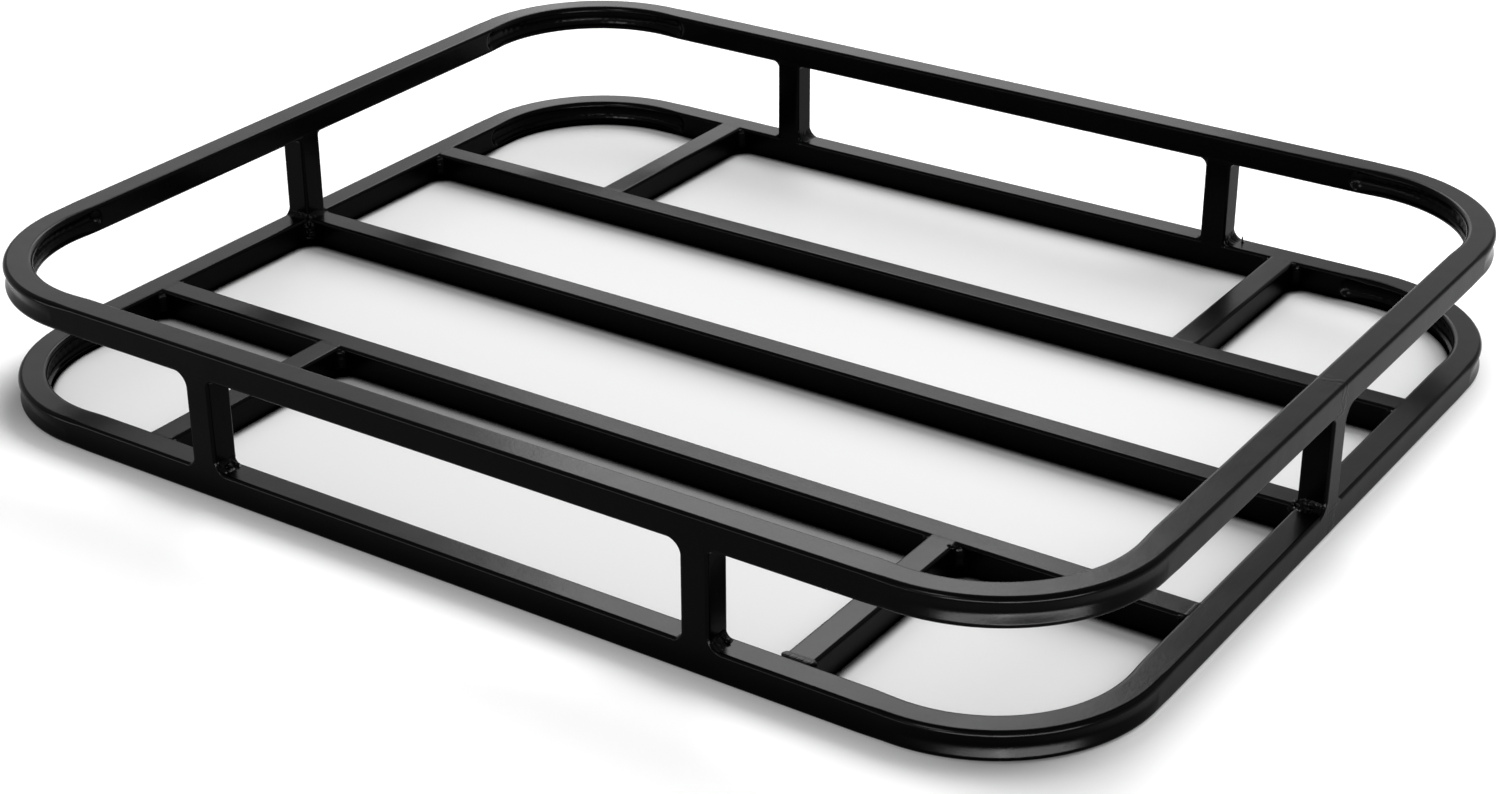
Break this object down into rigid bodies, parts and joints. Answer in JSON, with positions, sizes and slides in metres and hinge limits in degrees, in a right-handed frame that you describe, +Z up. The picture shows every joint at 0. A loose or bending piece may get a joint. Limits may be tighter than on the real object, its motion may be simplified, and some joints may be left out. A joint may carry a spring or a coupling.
{
  "type": "cargo carrier basket",
  "caption": "Open cargo basket of welded square steel tube: two rounded rail loops joined by short posts, with floor bars between the lower rail's sides.",
  "frame": {"origin": "middle of the basket's footprint, on the level it rests on", "axes": "+X along the long sides to the right, +Y across to the back, +Z up"},
  "size_m": [1.099, 0.899, 0.134],
  "materials": {
    "coated_tube": "satin black powder coat",
    "coated_weld": "satin black powder coat over weld beads"
  },
  "bodies": {
    "root": {"bottom_rail": "coated_tube", "top_rail": "coated_tube", "front_left_post": "coated_tube", "front_right_post": "coated_tube", "back_left_post": "coated_tube", "back_right_post": "coated_tube", "left_post": "coated_tube", "right_post": "coated_tube", "front_floor_bar": "coated_tube", "middle_floor_bar": "coated_tube", "back_floor_bar": "coated_tube", "front_left_stub": "coated_tube", "front_right_stub": "coated_tube", "back_left_stub": "coated_tube", "back_right_stub": "coated_tube", "bottom_rail_seam": "coated_weld", "top_rail_seam": "coated_weld", "floor_bar_welds": "coated_weld", "stub_welds": "coated_weld", "post_foot_welds": "coated_weld", "post_head_welds": "coated_weld"}
  },
  "joints": []
}
